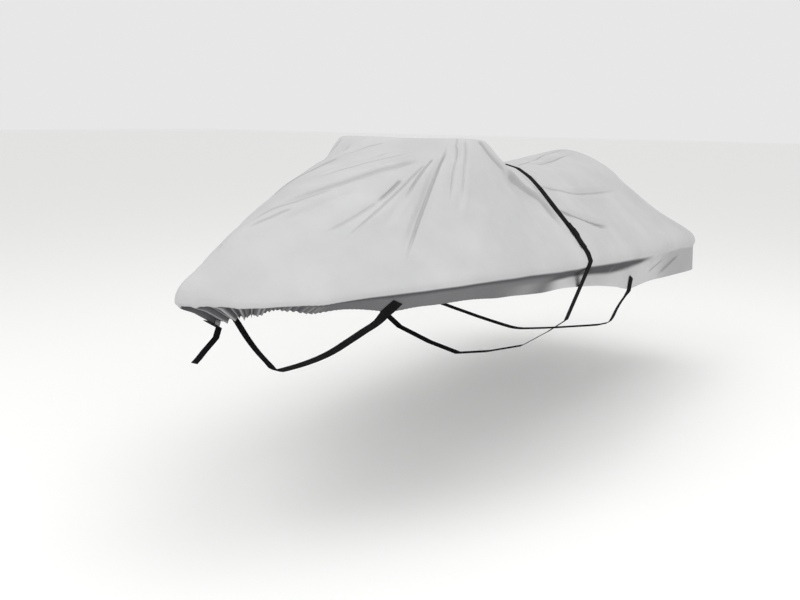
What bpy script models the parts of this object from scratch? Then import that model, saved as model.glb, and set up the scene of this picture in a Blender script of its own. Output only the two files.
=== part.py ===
"""Fitted cover for a personal watercraft, as it sits on the craft, with its hold-down straps.

The cover is one elastic-hemmed sheet of coated polyester. It stands up over the handlebars as a
hood, dips behind them, rises over the seat and falls to the stern. Stations are metres aft of
the bow tip, heights are metres above the keel, and half-breadths are metres from the centreline.
The part's own frame has +X to the bow, +Y to port and +Z up, with its origin under the top of
the hood.
"""
import math
from collections import namedtuple

import bmesh
import bpy
import numpy as np
from mathutils import Vector
from mathutils.bvhtree import BVHTree

# Driving dimensions, metres
TOP_STATION = 1.22          # the origin lies this far aft of the bow tip
TOP_HEIGHT = 0.961          # and this far above the keel, on the inner face of the hood
CLOTH = 0.002               # coated polyester with its body, as built
HEM = 0.003                 # the hem is the cloth folded over its elastic
WEB_WIDTH = 0.045           # 45 mm polyester webbing
WEB_THICK = 0.002
SEAT = 0.0005               # between a taut strap and the cloth that it lies on
SKIRT_SEAT = 0.0008         # between a hanging strap and the skirt that it is sewn to

# One row for each rib of the cover, from the stem round the port side to the middle of the
# stern. A rib leaves the centreline at spine, passes the shoulder and the flank, which are given
# as shares of the way out to the edge, turns under at the edge with the given round, cuts back
# by tuck under it and ends in the hem. steps is the number of mesh ribs to the next row, and
# bend is how softly the cloth turns over the shoulder, 1 where nothing stretches it.
Rib = namedtuple("Rib", "steps spine crown shoulder shoulder_h flank flank_h "
                        "edge_s edge_y edge_h round hem_s hem_y hem_h tuck bend")
RIBS = [
    Rib(4, .190, .658, .50, .598, .88, .551, .000, .000, .486, .020, .160, .000, .394, .00, 1),
    Rib(4, .202, .662, .48, .600, .86, .550, .021, .034, .485, .019, .168, .030, .404, .00, 1),
    Rib(4, .225, .672, .45, .607, .82, .546, .077, .078, .482, .016, .178, .060, .412, .00, 1),
    Rib(4, .265, .690, .42, .628, .77, .550, .150, .148, .473, .013, .205, .100, .416, .00, 1),
    Rib(4, .330, .716, .39, .656, .72, .562, .262, .235, .475, .011, .280, .180, .436, .00, 1),
    Rib(5, .430, .755, .37, .696, .68, .590, .420, .345, .492, .011, .420, .290, .455, .00, 1),
    Rib(7, .600, .812, .38, .754, .66, .634, .600, .445, .500, .012, .600, .390, .441, .00, 1),
    Rib(6, .820, .860, .42, .812, .70, .666, .820, .540, .504, .014, .820, .485, .441, .00, 1),
    Rib(5, 1.000, .882, .46, .850, .74, .680, 1.000, .583, .500, .016, 1.000, .530, .428, .00, .9),
    Rib(4, 1.130, .912, .49, .890, .76, .690, 1.130, .598, .494, .017, 1.130, .546, .418, .00, .6),
    Rib(3, 1.225, .964, .505, .962, .78, .702, 1.225, .604, .488, .018, 1.225, .552, .409, .00, .3),
    Rib(4, 1.300, .963, .505, .958, .78, .700, 1.300, .607, .481, .020, 1.300, .556, .402, .00, .3),
    Rib(4, 1.400, .925, .50, .906, .77, .690, 1.400, .608, .473, .022, 1.400, .558, .395, .01, .7),
    Rib(4, 1.540, .876, .45, .858, .77, .672, 1.540, .608, .462, .025, 1.540, .560, .387, .02, 1),
    Rib(3, 1.700, .848, .43, .838, .76, .660, 1.700, .602, .452, .026, 1.700, .554, .368, .03, 1),
    Rib(3, 1.880, .838, .40, .820, .75, .662, 1.880, .609, .439, .026, 1.880, .564, .347, .03, 1),
    Rib(3, 2.120, .837, .38, .804, .72, .646, 2.120, .611, .424, .026, 2.120, .568, .309, .02, 1),
    Rib(3, 2.360, .840, .37, .800, .71, .632, 2.360, .612, .408, .028, 2.360, .574, .275, .02, 1),
    Rib(3, 2.600, .867, .36, .806, .70, .618, 2.600, .614, .396, .030, 2.600, .582, .270, .01, 1),
    Rib(2, 2.820, .884, .37, .806, .70, .604, 2.820, .616, .390, .032, 2.820, .594, .260, .01, 1),
    Rib(2, 2.920, .862, .37, .762, .70, .584, 3.006, .618, .384, .031, 3.006, .604, .252, .00, 1),
    Rib(2, 2.970, .836, .38, .717, .70, .560, 3.194, .617, .371, .029, 3.194, .612, .244, .00, 1),
    Rib(3, 3.000, .812, .40, .678, .72, .538, 3.322, .590, .368, .028, 3.322, .586, .238, .00, 1),
    Rib(2, 3.020, .792, .42, .651, .76, .520, 3.370, .446, .369, .029, 3.366, .440, .235, .00, 1),
    Rib(2, 3.035, .776, .44, .633, .80, .505, 3.378, .223, .370, .030, 3.372, .220, .234, .00, 1),
    Rib(0, 3.050, .762, .45, .623, .82, .499, 3.380, .000, .370, .030, 3.374, .000, .234, .00, 1),
]

# Steps across a rib: spine, shoulder, flank, above the edge, widest, edge, tuck, hem
CROSS_STEPS = (4, 4, 2, 1, 1, 1, 2)
SHOULDER, EDGE = 1, 5       # places of these two in that list
ROLL_IN, ROLL_UP = 0.5, 2.2     # where the roll above the edge starts, in rounds in and up
TURN_IN = 0.3               # how far under the edge the turn ends, in rounds
TUCK_SHARE = 0.36           # the deepest part of the tuck, as a share of the skirt

# Tension folds in the cloth, each along a path of (station, half-breadth, height) on its own
# side of the cover: side is 1 for port and -1 for starboard. A fold is a trough of the given
# depth with a ridge of the given lift beside it, towards the stern where lift is positive and
# ridge_side is 1. Its half width grows from width0 to width1.
FOLD_REACH = 0.08           # a fold acts on cloth that lies this near its path
RIDGE_AT = 1.8              # half widths from a trough to its ridge
FADE_IN, FADE_OUT = 0.15, 0.55  # shares of its path over which a fold starts and ends
Fold = namedtuple("Fold", "side path width0 width1 depth lift ridge_side")
FOLDS = [
    # from the port end of the handlebars down the port flank
    Fold(1, ((1.19, .24, .945), (1.06, .31, .836), (.96, .36, .760)), .022, .040, .010, .006, 1),
    Fold(1, ((1.17, .22, .932), (.99, .275, .840), (.74, .348, .656), (.60, .385, .570)),
         .022, .038, .014, .008, 1),
    Fold(1, ((.90, .225, .838), (.70, .224, .762), (.47, .178, .678)), .024, .030, .010, .006, -1),
    Fold(1, ((1.13, .165, .905), (.79, .105, .846), (.50, .03, .776)), .030, .045, .010, .006, 1),
    # the valley behind the port end, which the mid strap pulls down
    Fold(1, ((1.29, .39, .850), (1.42, .42, .755), (1.56, .46, .674), (1.66, .51, .600)),
         .050, .040, .022, .008, -1),
    Fold(1, ((1.44, .28, .880), (1.60, .36, .770), (1.68, .44, .680)), .026, .024, .008, .004, 1),
    # the seat
    Fold(1, ((2.22, .11, .830), (2.45, .09, .852), (2.68, .06, .873)), .030, .035, .010, .007, -1),
    Fold(1, ((1.77, .43, .670), (1.97, .50, .606), (2.20, .52, .570)), .022, .034, .010, .006, 1),
    Fold(1, ((1.80, .34, .764), (2.10, .35, .727), (2.60, .35, .690)), .030, .040, .006, .004, 1),
    # the skirt at the port quarter
    Fold(1, ((2.96, .60, .350), (2.66, .58, .280)), .018, .022, .008, .005, 1),
    # the starboard side has its own folds from its end of the handlebars
    Fold(-1, ((1.18, .23, .940), (1.02, .31, .820), (.84, .37, .690)), .024, .040, .012, .007, 1),
    Fold(-1, ((1.10, .19, .900), (.80, .20, .810), (.52, .17, .700)), .026, .036, .010, .006, -1),
    Fold(-1, ((1.30, .39, .850), (1.45, .43, .740), (1.63, .49, .630)), .048, .040, .020, .008, -1),
    Fold(-1, ((1.80, .42, .680), (2.02, .49, .606), (2.24, .52, .570)), .024, .034, .009, .005, 1),
]

# Pleats where the elastic draws the bow in: distance along the edge from the stem (port
# positive), half width, and how far the pleat stands out at the hem.
Pleat = namedtuple("Pleat", "place half_width height")
PLEATS = [
    Pleat(-.345, .020, .007), Pleat(-.250, .022, .010), Pleat(-.170, .018, .012),
    Pleat(-.092, .018, .014), Pleat(-.020, .016, .012), Pleat(.052, .017, .014),
    Pleat(.110, .016, .012), Pleat(.175, .018, .010), Pleat(.255, .020, .008),
    Pleat(.350, .020, .006),
]
PLEAT_SHARE = (0.0, 0.0, 0.0, 0.0, .15, .60, 1.0, 1.0)   # how much shows at each rib control
PLEAT_VALLEY = 0.35         # depth between two pleats, as a share of their height
PLEATS_FADE, PLEATS_END = .32, .45      # distance from the stem over which they die out

# Places where a strap draws the hem down: station, half length, drop
HemDip = namedtuple("HemDip", "station half_length drop")
HEM_DIPS = [
    HemDip(0.560, 0.060, 0.007),
    HemDip(2.285, 0.130, 0.008),
]

# The straps, as (station, half-breadth, height) down the port side from the end that is sewn to
# the skirt to the keel; the starboard half mirrors it. The first SEWN points lie on the skirt.
SEWN = 3
HANG_STEPS = 3              # steps of the smooth curve between two points that hang free
SEAT_REACH = 0.012          # how far up and down the skirt is felt round each of those points
SEAT_ROWS, SEAT_COLUMNS = 11, 15        # feeling points along and across a strap
FRONT_PATH = ((.566, .392, .476), (.557, .377, .450), (.549, .364, .427), (.540, .337, .399),
              (.529, .293, .366), (.517, .242, .328), (.499, .183, .285), (.479, .123, .252),
              (.455, .048, .221), (.438, .000, .208))
REAR_PATH = ((2.322, .590, .322), (2.309, .582, .296), (2.295, .574, .267), (2.288, .560, .236),
             (2.285, .538, .198), (2.291, .517, .157), (2.302, .498, .118), (2.306, .478, .094),
             (2.306, .300, .052), (2.306, .100, .016), (2.306, .000, .004))
STEM_RISE = (.926, .000, .377)  # the keel line where the front strap crosses it
FORWARD = (1.0, .000, .000)
BOW_PATH = ((.112, .000, .423), (.138, .000, .408), (.164, .000, .392), (.158, .000, .376),
            (.136, .000, .362), (.108, .000, .345), (.084, .000, .328), (.064, .000, .316))
BOW_WIDTH = .025

# The mid strap goes right round at one station, taut over the cover and under the hull
MID_STATION = 1.70
MID_CENTRE = .50            # height that its angles are measured about
RAY_STEP = 0.2              # degrees between the rays that feel for the cloth
RAY_LOW, RAY_HIGH = -16.0, 196.0        # the cover lies between these angles
RAY_PLANES = 6              # planes of rays from the strap's middle to its edge
RING_TOLERANCE = 0.0002     # how closely the strap's path keeps to what it touches
HULL_UNDER_MID = ((.508, .221), (.431, .162), (.314, .084), (.150, .034), (.0, .004))

# Its buckle, in millimetres: t runs down along the strap and n out from the cloth
BUCKLE_ANGLE = 9.5          # degrees above level, seen from MID_CENTRE
BUCKLE_LINES_T = (-14.0, -10.0, -1.0, 3.0, 9.0, 13.0)
BUCKLE_LINES_X = (-28.5, -23.3, 23.3, 28.5)
BUCKLE_BACK, BUCKLE_FRONT = 2.5, 5.5
WEB_BACK, WEB_FRONT = 1.2, 6.8                  # centre lines of the webbing under and over a bar
LOOP_TOP, LOOP_LOW = -9.7, -1.3                 # where the two loops turn round their bars
TAIL_PATH = ((10.0, 6.8), (17.0, 6.5), (27.0, 3.8), (44.0, 3.5), (62.0, 3.9), (76.0, 5.4))
TAIL_SKEW = 12.0            # the free end lies this far forward of the strap
TAIL_FROM = -0.3            # and starts to turn aside here
BUCKLE_HALF_ANGLE = 3.0     # degrees from the buckle's middle to where the strap meets the cloth
STRAP_UNDER = -16.0         # where the strap's sewn loop comes out under the buckle
STRAP_IN = 9.0              # where its other end goes in
TURN_POINTS = 6             # points of a turn round a bar
SEWN_PATH = ((-48.0, 3.6), (-34.0, 3.6), (-22.0, 4.6), (-14.0, 6.6))


def to_frame(station, half_breadth, height):
    """Turn a station, half-breadth and height into a point of the part's frame."""
    return np.array((TOP_STATION - station, half_breadth, height - TOP_HEIGHT))


def smooth_slopes(values):
    """Slopes of a curve through evenly spaced values that never overshoots them."""
    step = np.diff(values, axis=0)
    before, after = step[:-1], step[1:]
    same_way = before * after > 0
    total = np.where(same_way, before + after, 1.0)
    slopes = np.zeros_like(values)
    slopes[1:-1] = np.where(same_way, 2.0 * before * after / total, 0.0)
    return slopes


def hermite(a, b, slope_a, slope_b, t):
    """Point at t on the cubic from a to b with the given end slopes."""
    t2, t3 = t * t, t * t * t
    return ((2 * t3 - 3 * t2 + 1) * a + (t3 - 2 * t2 + t) * slope_a
            + (3 * t2 - 2 * t3) * b + (t3 - t2) * slope_b)


def rib_controls(rib):
    """The eight points that a rib passes through, from the spine to the hem."""
    spine = to_frame(rib.spine, 0.0, rib.crown)
    edge = to_frame(rib.edge_s, rib.edge_y, rib.edge_h)
    hem = to_frame(rib.hem_s, rib.hem_y, rib.hem_h)
    out = edge - spine
    out[2] = 0.0
    out_dir = out / np.linalg.norm(out)

    def part_way(share, height):
        point = spine + share * out
        point[2] = height - TOP_HEIGHT
        return point

    up = np.array((0.0, 0.0, 1.0))
    widest = edge + rib.round * up
    above = edge - ROLL_IN * rib.round * out_dir + ROLL_UP * rib.round * up
    turn = edge - TURN_IN * rib.round * out_dir
    skirt = hem - turn
    tuck = turn + TUCK_SHARE * skirt - rib.tuck * out_dir
    return np.array((spine, part_way(rib.shoulder, rib.shoulder_h),
                     part_way(rib.flank, rib.flank_h), above, widest, turn, tuck, hem))


def rib_stack(scale):
    """Control points and bend of every mesh rib, with scale times the table's steps."""
    rows = np.array([rib_controls(rib) for rib in RIBS])
    mirror = np.array((1.0, -1.0, 1.0))
    padded = np.concatenate((rows[1:2] * mirror, rows, rows[-2:-1] * mirror))
    slopes = smooth_slopes(padded)[1:-1]
    stack, bends = [], []
    for i, rib in enumerate(RIBS[:-1]):
        count = rib.steps * scale
        for k in range(count):
            stack.append(hermite(rows[i], rows[i + 1], slopes[i], slopes[i + 1], k / count))
            bends.append(rib.bend + (RIBS[i + 1].bend - rib.bend) * k / count)
    return stack + [rows[-1]], bends + [RIBS[-1].bend]


def smooth_line(points, counts, bends=None):
    """A smooth curve from the second point to the last but one, in counts steps for each span.

    bends scales the curve's speed at each point, and so sharpens its turn there.
    """
    chords = np.sqrt(np.linalg.norm(np.diff(points, axis=0), axis=1))
    knots = np.concatenate(([0.0], np.cumsum(chords)))
    slopes = np.zeros_like(points)
    for i in range(1, len(points) - 1):
        before, after = knots[i] - knots[i - 1], knots[i + 1] - knots[i]
        back = (points[i] - points[i - 1]) / before
        ahead = (points[i + 1] - points[i]) / after
        slopes[i] = (back * after + ahead * before) / (before + after)
        if bends is not None:
            slopes[i] *= bends[i]
    line = []
    for i, count in enumerate(counts, 1):
        span = knots[i + 1] - knots[i]
        for k in range(count):
            line.append(hermite(points[i], points[i + 1], slopes[i] * span,
                                slopes[i + 1] * span, k / count))
    line.append(points[-2])
    return np.array(line)


def across(controls, bend, scale):
    """Points along one rib, on a smooth curve through its control points."""
    spine, shoulder = controls[0], controls[1]
    run = shoulder - spine
    along_boat = abs(run[0]) / (math.hypot(run[0], run[1]) + 1e-9)
    beyond = spine + np.array((-run[0], -run[1], run[2] * (1.0 - 2.0 * along_boat)))
    tail = 2.0 * controls[-1] - controls[-2]
    points = np.concatenate(([beyond], controls, [tail]))
    bends = np.where(np.arange(len(points)) == SHOULDER + 1, bend, 1.0)
    return smooth_line(points, [steps * scale for steps in CROSS_STEPS], bends)


def base_half(scale=1):
    """The port half of the cover without its folds: an array [rib, place on the rib, xyz]."""
    half = np.array([across(*rib, scale) for rib in zip(*rib_stack(scale))])
    places = np.concatenate(([0], np.cumsum(CROSS_STEPS))) * scale
    drop_share = np.interp(np.arange(half.shape[1]), places[-3:], (0.0, 0.5, 1.0))
    for dip in HEM_DIPS:
        station = TOP_STATION - half[:, -1, 0]
        pull = dip.drop * np.exp(-((station - dip.station) / dip.half_length) ** 2)
        half[:, :, 2] -= pull[:, None] * drop_share[None, :]
    return half


def unit(vectors):
    """Vectors scaled to length one along their last axis."""
    return vectors / np.maximum(np.linalg.norm(vectors, axis=-1, keepdims=True), 1e-9)


def outward(half):
    """Outward normals of the port half, which meets its own mirror image on the centreline."""
    mirror = np.array((1.0, -1.0, 1.0))
    ribs = np.concatenate((half[1:2] * mirror, half, half[-2:-1] * mirror))
    along = ribs[2:] - ribs[:-2]
    places = np.concatenate((half[:, 1:2] * mirror, half, 2 * half[:, -1:] - half[:, -2:-1]), axis=1)
    down = places[:, 2:] - places[:, :-2]
    normals = unit(np.cross(down, along))
    normals[:, 0] = unit(normals[:, 1] * (1.0, 0.0, 1.0))
    return normals


def ramp(value, low, high):
    """Smooth step from 0 at low to 1 at high."""
    share = np.clip((value - low) / (high - low), 0.0, 1.0)
    return share * share * (3.0 - 2.0 * share)


def fold_relief(points, normals, side, folds):
    """How far the folds of one side move each point along its normal."""
    relief = np.zeros(points.shape[:-1])
    for fold in folds:
        if fold.side != side:
            continue
        path = np.array([to_frame(*place) for place in fold.path])
        runs = np.linalg.norm(np.diff(path, axis=0), axis=1)
        starts = np.concatenate(([0.0], np.cumsum(runs)))
        nearest = np.full(relief.shape, 9.0)
        share = np.zeros(relief.shape)
        for start, end, run, done in zip(path, path[1:], runs, starts):
            ahead = (end - start) / run
            rel = points - start
            reach = np.clip(rel @ ahead, 0.0, run)
            rel = rel - reach[..., None] * ahead
            lift_off = (rel * normals).sum(axis=-1)
            aside = rel - lift_off[..., None] * normals
            across_fold = np.cross(ahead, normals)
            signed = np.linalg.norm(aside, axis=-1) * np.sign((aside * across_fold).sum(axis=-1))
            closer = (np.abs(signed) < np.abs(nearest)) & (np.abs(lift_off) < FOLD_REACH)
            nearest = np.where(closer, signed, nearest)
            share = np.where(closer, (done + reach) / starts[-1], share)
        width = fold.width0 + (fold.width1 - fold.width0) * share
        fade = ramp(share, 0.0, FADE_IN) * (1.0 - ramp(share, FADE_OUT, 1.0))
        trough = np.exp(-(nearest / width) ** 2)
        ridge = np.exp(-((nearest - RIDGE_AT * fold.ridge_side * width) / width) ** 2)
        relief += fade * (fold.lift * ridge - fold.depth * trough)
    return relief


def pleat_relief(half, side, scale):
    """How far the bow's pleats move each point along its normal."""
    places = np.concatenate(([0], np.cumsum(CROSS_STEPS))) * scale
    edge = half[:, places[EDGE]]
    arc = np.concatenate(([0.0], np.cumsum(np.linalg.norm(np.diff(edge, axis=0), axis=1)))) * side
    height = sum(pleat.height * (np.exp(-((arc - pleat.place) / pleat.half_width) ** 2)
                                 - PLEAT_VALLEY) for pleat in PLEATS)
    height = height * (1.0 - ramp(np.abs(arc), PLEATS_FADE, PLEATS_END))
    share = np.interp(np.arange(half.shape[1]), places, PLEAT_SHARE)
    return height[:, None] * share[None, :]


def cover_half(side, scale=1):
    """One side of the cover with its folds and pleats, side 1 for port and -1 for starboard."""
    half = base_half(scale)
    normals = outward(half)
    relief = fold_relief(half, normals, side, FOLDS) + pleat_relief(half, side, scale)
    relief[0] *= 0.5
    own_side = 0.5 * half[..., 1]
    half = half + relief[..., None] * normals
    half[..., 1] = np.maximum(half[..., 1], own_side)
    half[0, :, 1] = 0.0
    half[-1, :, 1] = 0.0
    half[:, 0, 1] = 0.0
    return half * np.array((1.0, side, 1.0))


# ---- solids
def clear_scene():
    """Remove whatever the file opened with."""
    for old in list(bpy.data.objects):
        bpy.data.objects.remove(old, do_unlink=True)


def plain_material(name, colour, roughness):
    """A Principled material of one colour."""
    material = bpy.data.materials.new(name)
    material.use_nodes = True
    shader = material.node_tree.nodes["Principled BSDF"]
    shader.inputs["Base Color"].default_value = (*colour, 1.0)
    shader.inputs["Roughness"].default_value = roughness
    shader.inputs["Metallic"].default_value = 0.0
    return material


def add_object(name, mesh, material):
    """Link a mesh as a named object with its material."""
    mesh.materials.append(material)
    obj = bpy.data.objects.new(name, mesh)
    bpy.context.scene.collection.objects.link(obj)
    return obj


def split_quad(points, a, b, c, d):
    """Two triangles for a quad, cut along its shorter diagonal."""
    one = np.linalg.norm(points[a] - points[c])
    other = np.linalg.norm(points[b] - points[d])
    if one <= other:
        return [(a, b, c), (a, c, d)]
    return [(a, b, d), (b, c, d)]


def cover_sheet(scale=1):
    """Points and triangles of the cover's outer face, and the points that lie in its hem."""
    port, starboard = cover_half(1, scale), cover_half(-1, scale)
    middle = 0.5 * (port[:, 0] + starboard[:, 0])
    ends = 0.5 * (port[[0, -1]] + starboard[[0, -1]])
    ribs, places = port.shape[:2]
    points = []
    index = {}
    for i in range(ribs):
        for side, half in ((1, port), (-1, starboard)):
            for j in range(places):
                shared = j == 0 or i in (0, ribs - 1)
                if shared and side == -1:
                    index[side, i, j] = index[1, i, j]
                    continue
                index[side, i, j] = len(points)
                if j == 0:
                    points.append(middle[i])
                elif shared:
                    points.append(ends[0 if i == 0 else 1, j])
                else:
                    points.append(half[i, j])
    points = np.array(points)
    faces = []
    for i in range(ribs - 1):
        for j in range(places - 1):
            for side in (1, -1):
                quad = [index[side, i, j], index[side, i, j + 1],
                        index[side, i + 1, j + 1], index[side, i + 1, j]]
                if side == -1:
                    quad.reverse()
                faces += split_quad(points, *quad)
    hem = {index[side, i, j] for side in (1, -1) for i in range(ribs)
           for j in range(places - scale, places)}
    return points, faces, sorted(hem)


def make_cover(material):
    """The cover: its outer face, thickened inwards to cloth, and a little more at the hem."""
    points, faces, hem = cover_sheet()
    mesh = bpy.data.meshes.new("cover")
    mesh.from_pydata([tuple(point) for point in points], [], faces)
    mesh.validate()
    mesh.shade_smooth()
    cover = add_object("cover", mesh, material)
    body = cover.vertex_groups.new(name="thickness")
    body.add(range(len(points)), CLOTH / HEM, "REPLACE")
    body.add(hem, 1.0, "REPLACE")
    thicken = cover.modifiers.new("cloth", "SOLIDIFY")
    thicken.thickness = HEM
    thicken.offset = -1.0
    thicken.use_even_offset = True
    thicken.vertex_group = "thickness"
    return cover


def sheet_tree():
    """A search tree of the cover's outer face."""
    points, faces, _hem = cover_sheet()
    return BVHTree.FromPolygons([Vector(point) for point in points], faces)


def along_path(path):
    """Unit tangents of a path, the mean of the directions before and after each point."""
    steps = unit(np.diff(path, axis=0))
    return unit(np.concatenate((steps[:1], steps[:-1] + steps[1:], steps[-1:])))


def band(name, path, wide, width, material):
    """Webbing whose centre line is path and whose width runs along wide."""
    ahead = along_path(path)
    out = unit(np.cross(wide, ahead))
    corners = [(-1, -1), (1, -1), (1, 1), (-1, 1)]
    points = [tuple(p + 0.5 * across_by * width * w + 0.5 * out_by * WEB_THICK * n)
              for p, w, n in zip(path, wide, out) for across_by, out_by in corners]
    last = len(points) - 4
    faces = [(0, 1, 2, 3), (last + 3, last + 2, last + 1, last)]
    for start in range(0, last, 4):
        for k in range(4):
            near, far = start + k, start + (k + 1) % 4
            faces.append((near, near + 4, far + 4, far))
    mesh = bpy.data.meshes.new(name)
    mesh.from_pydata(points, [], faces)
    orient(mesh)
    return add_object(name, mesh, material)


def orient(mesh):
    """Turn a closed mesh's faces outwards."""
    solid = bmesh.new()
    solid.from_mesh(mesh)
    bmesh.ops.recalc_face_normals(solid, faces=solid.faces)
    solid.to_mesh(mesh)
    solid.free()


def seat_on_skirt(path, wide, chosen, width, tree):
    """Lay the chosen points of a strap flat on the skirt, its inner face just clear of it."""
    ahead = along_path(path)
    for i in chosen:
        _foot, normal, _face, _distance = tree.find_nearest(Vector(path[i]))
        normal = np.array(normal)
        if abs(path[i][1]) < 1e-6:
            normal = unit(normal * (1.0, 0.0, 1.0))
        lie = unit(np.cross(normal, ahead[i]))
        wide[i] = lie * (1.0 if lie @ wide[i] > 0 else -1.0)
        down = np.cross(wide[i], normal)
        clearances = []
        for along in np.linspace(-SEAT_REACH, SEAT_REACH, SEAT_ROWS):
            for shift in np.linspace(-0.5, 0.5, SEAT_COLUMNS):
                corner = path[i] + shift * width * wide[i] + along * down
                foot = tree.find_nearest(Vector(corner))[0]
                clearances.append((corner - np.array(foot)) @ normal)
        path[i] = path[i] + (0.5 * WEB_THICK + SKIRT_SEAT - min(clearances)) * normal


def hanging_strap(name, places, lie, tree, material):
    """A strap sewn to both sides of the skirt, which passes under the keel and lies along lie."""
    port = np.array([to_frame(*place) for place in places])
    path = np.concatenate((port, port[-2::-1] * (1.0, -1.0, 1.0)))
    ahead = along_path(path)
    wide = unit(lie - (ahead @ lie)[:, None] * ahead)
    count = len(path)
    seat_on_skirt(path, wide, [*range(SEWN), *range(count - SEWN, count)], WEB_WIDTH, tree)
    sewn = [1] * (SEWN - 1)
    counts = sewn + [HANG_STEPS] * (count - 1 - 2 * len(sewn)) + sewn
    ends = (2.0 * path[:1] - path[1:2], 2.0 * path[-1:] - path[-2:-1])
    path = smooth_line(np.concatenate((ends[0], path, ends[1])), counts)
    spots = np.concatenate([i + np.arange(steps) / steps for i, steps in enumerate(counts)]
                           + [[count - 1.0]])
    wide = np.stack([np.interp(spots, np.arange(count), wide[:, k]) for k in range(3)], axis=1)
    ahead = along_path(path)
    wide = unit(wide - (wide * ahead).sum(axis=1, keepdims=True) * ahead)
    return band(name, path, wide, WEB_WIDTH, material)


def bow_strap(tree, material):
    """The short tie at the stem, sewn under the bow and drawn forward and down."""
    path = np.array([to_frame(*place) for place in BOW_PATH])
    wide = np.tile((0.0, 1.0, 0.0), (len(path), 1))
    seat_on_skirt(path, wide, range(SEWN), BOW_WIDTH, tree)
    return band("bow_strap", path, wide, BOW_WIDTH, material)


def convex_ring(points):
    """The convex outline of a set of (y, z) points, anticlockwise."""
    ordered = sorted(set(map(tuple, points)))
    outline = []
    for sweep in (ordered, ordered[::-1]):
        chain = []
        for point in sweep:
            while len(chain) > 1:
                (ay, az), (by, bz) = chain[-2], chain[-1]
                if (by - ay) * (point[1] - az) - (bz - az) * (point[0] - ay) > 1e-9:
                    break
                chain.pop()
            chain.append(point)
        outline += chain[:-1]
    return outline


def ring_distance(outline, centre, angle):
    """Distance from the centre to a convex outline along an angle."""
    ray = (math.cos(angle), math.sin(angle))
    for (ay, az), (by, bz) in zip(outline, outline[1:] + outline[:1]):
        ey, ez = by - ay, bz - az
        denominator = ray[0] * ez - ray[1] * ey
        if abs(denominator) < 1e-12:
            continue
        ry, rz = ay - centre[0], az - centre[1]
        reach = (ry * ez - rz * ey) / denominator
        share = (ry * ray[1] - rz * ray[0]) / denominator
        if reach > 0 and -1e-9 <= share <= 1 + 1e-9:
            return reach
    raise ValueError("the outline doesn't surround its centre")


def mid_ring(tree, angles):
    """Inner face of the taut mid strap at each angle: its fore edge and its aft edge."""
    middle = TOP_STATION - MID_STATION
    centre = (0.0, MID_CENTRE - TOP_HEIGHT)
    hull = [(side * y, h - TOP_HEIGHT) for y, h in HULL_UNDER_MID for side in (1, -1)]
    edges = []
    for end in (1, -1):
        touching = list(hull)
        for angle in np.radians(np.arange(RAY_LOW, RAY_HIGH, RAY_STEP)):
            ray = Vector((0.0, math.cos(angle), math.sin(angle)))
            for share in np.linspace(0.0, 0.5, RAY_PLANES):
                start = Vector((middle + end * share * WEB_WIDTH, 0.0, centre[1]))
                hit, _normal, _face, _distance = tree.ray_cast(start, ray)
                if hit:
                    touching.append((hit.y, hit.z))
        outline = convex_ring(touching)
        x = middle + 0.5 * end * WEB_WIDTH
        edge = []
        for angle in angles:
            reach = ring_distance(outline, centre, angle) + SEAT + RING_TOLERANCE
            edge.append((x, reach * math.cos(angle), centre[1] + reach * math.sin(angle)))
        edges.append(np.array(edge))
    return edges


def turning_points(lines, tolerance):
    """Indices of the points that keep a polyline within tolerance of all its points."""
    start, end = lines[0], lines[-1]
    run = end - start
    share = np.clip((lines - start) @ run / max(run @ run, 1e-12), 0.0, 1.0)
    miss = np.linalg.norm(lines - start - share[:, None] * run, axis=1)
    worst = int(np.argmax(miss))
    if miss[worst] <= tolerance or len(lines) < 3:
        return [0, len(lines) - 1]
    before = turning_points(lines[:worst + 1], tolerance)
    after = turning_points(lines[worst:], tolerance)
    return before[:-1] + [worst + k for k in after]


def half_turn(turn_t, start_degrees, end_degrees):
    """Points of a loop of webbing round a buckle's bar, as (t, n) in millimetres."""
    radius = 0.5 * (WEB_FRONT - WEB_BACK)
    middle = 0.5 * (WEB_FRONT + WEB_BACK)
    turn = np.radians(np.linspace(start_degrees, end_degrees, TURN_POINTS))
    return [(turn_t + radius * math.cos(a), middle + radius * math.sin(a)) for a in turn]


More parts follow.
